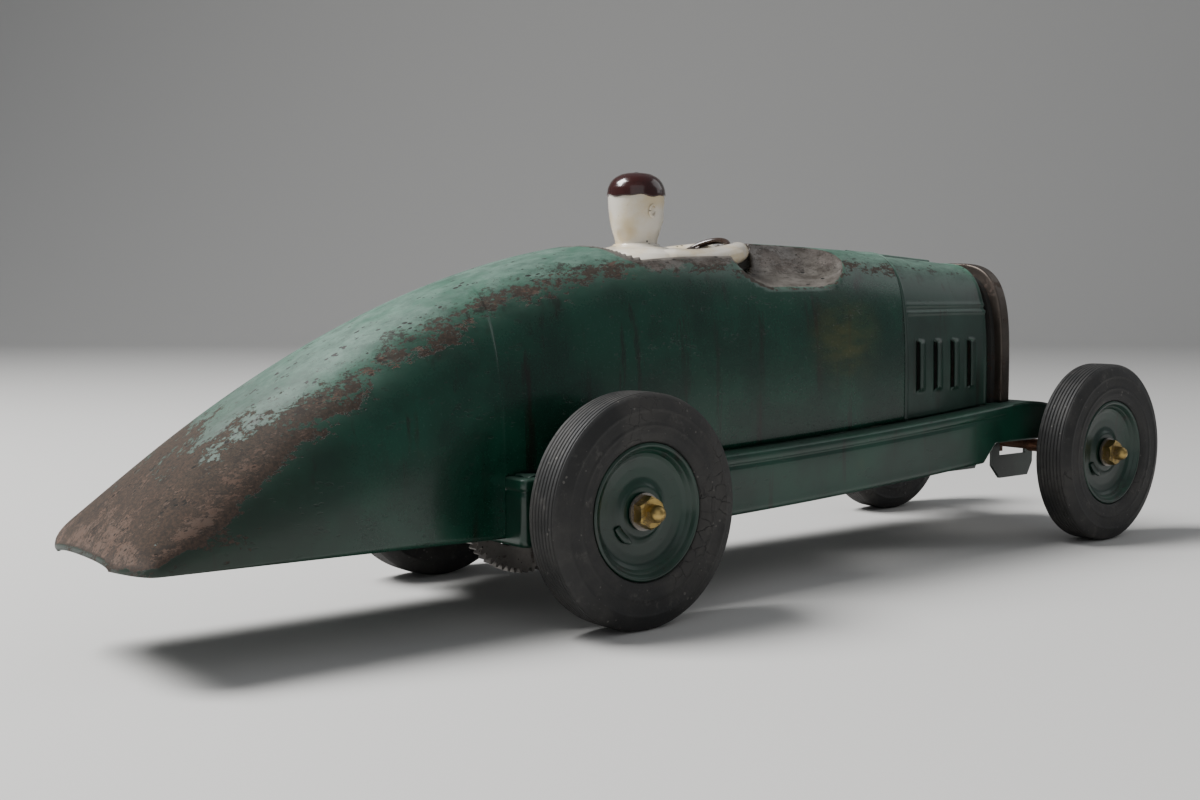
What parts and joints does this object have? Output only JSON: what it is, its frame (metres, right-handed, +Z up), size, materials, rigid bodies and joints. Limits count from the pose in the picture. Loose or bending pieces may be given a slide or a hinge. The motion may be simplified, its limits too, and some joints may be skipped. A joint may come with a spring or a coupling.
{
  "type": "friction tin racing car",
  "caption": "Streamlined tin racing car with friction drive: open cockpit and helmeted driver, louvred bonnet, boat tail, rubber tyres on pressed wheels and a swivelling front axle.",
  "frame": {"origin": "on the floor under the middle of the car's bounding box", "axes": "+X towards the nose, +Y to the driver's left, +Z up"},
  "size_m": [0.5364, 0.1692, 0.1766],
  "materials": {
    "green_enamel": "glossy old bottle-green enamel, worn to metal along the tail ridge",
    "green_satin": "satin worn green",
    "bare_tin": "dull brown-grey bare tinplate with rust",
    "dark_core": "matt dark",
    "wheel_green": "dark green enamel with rusty rim",
    "rubber": "dusty black rubber",
    "brass": "dull brass",
    "steel": "oily bright steel",
    "rust_steel": "copper-brown rusted steel",
    "iron": "dark cast iron",
    "cream_enamel": "glossy cream enamel, chipped",
    "maroon_enamel": "glossy maroon-brown enamel",
    "brown_enamel": "worn dark brown enamel"
  },
  "bodies": {
    "chassis": {"chassis_frame": "green_enamel", "body_shell": "green_enamel", "bonnet": "green_satin", "bonnet_hinge": "green_satin", "radiator_shell": "bare_tin", "radiator_core": "dark_core", "cockpit_floor": "bare_tin", "driver_bust": "cream_enamel", "driver_head": "cream_enamel", "driver_helmet": "maroon_enamel", "steering_wheel": "brown_enamel", "steering_column": "brown_enamel", "motor_plate_left": "steel", "motor_plate_right": "steel", "motor_spacers": "steel", "motor_crossbar": "bare_tin", "motor_rivets": "steel", "arbor_bushes": "brass", "axle_bushes": "brass", "front_crossmember": "bare_tin", "axle_hanger": "green_satin", "hanger_rivets": "green_satin"},
    "rear_wheels": {"rear_axle": "steel", "drive_gear": "steel", "rear_sleeves": "steel", "rear_washers": "steel", "rear_cap_nuts": "brass", "tyre_rear_left": "rubber", "wheel_outer_rear_left": "wheel_green", "wheel_inner_rear_left": "wheel_green", "wheel_hub_rear_left": "steel", "tyre_rear_right": "rubber", "wheel_outer_rear_right": "wheel_green", "wheel_inner_rear_right": "wheel_green", "wheel_hub_rear_right": "steel"},
    "flywheel_set": {"flywheel_arbor": "steel", "flywheel": "iron", "flywheel_pinion": "steel", "arbor_collars": "steel"},
    "front_steer": {"front_axle": "rust_steel", "swivel_block": "rust_steel", "king_nut": "steel", "front_sleeves": "rust_steel", "front_washers": "steel", "front_cap_nuts": "brass"},
    "front_wheel_left": {"tyre_front_left": "rubber", "wheel_outer_front_left": "wheel_green", "wheel_inner_front_left": "wheel_green", "wheel_hub_front_left": "steel"},
    "front_wheel_right": {"tyre_front_right": "rubber", "wheel_outer_front_right": "wheel_green", "wheel_inner_front_right": "wheel_green", "wheel_hub_front_right": "steel"}
  },
  "joints": [
    {"name": "rear_axle_spin", "type": "hinge", "parent": "chassis", "child": "rear_wheels", "pos_m": [-0.08625, 0, 0.0445], "axis": [0, 1, 0], "continuous": true},
    {"name": "flywheel_spin", "type": "hinge", "parent": "chassis", "child": "flywheel_set", "pos_m": [-0.06118, 0, 0.07438], "axis": [0, 1, 0], "continuous": true},
    {"name": "front_axle_steer", "type": "hinge", "parent": "chassis", "child": "front_steer", "pos_m": [0.22375, 0, 0.0445], "axis": [0, 0, 1], "range_deg": [-8, 8]},
    {"name": "front_left_spin", "type": "hinge", "parent": "front_steer", "child": "front_wheel_left", "pos_m": [0.22375, 0.069, 0.0445], "axis": [0, 1, 0], "continuous": true},
    {"name": "front_right_spin", "type": "hinge", "parent": "front_steer", "child": "front_wheel_right", "pos_m": [0.22375, -0.069, 0.0445], "axis": [0, 1, 0], "continuous": true}
  ],
  "couplings": [
    {"joint": "flywheel_spin", "follows": "rear_axle_spin", "ratio": -5.5}
  ]
}
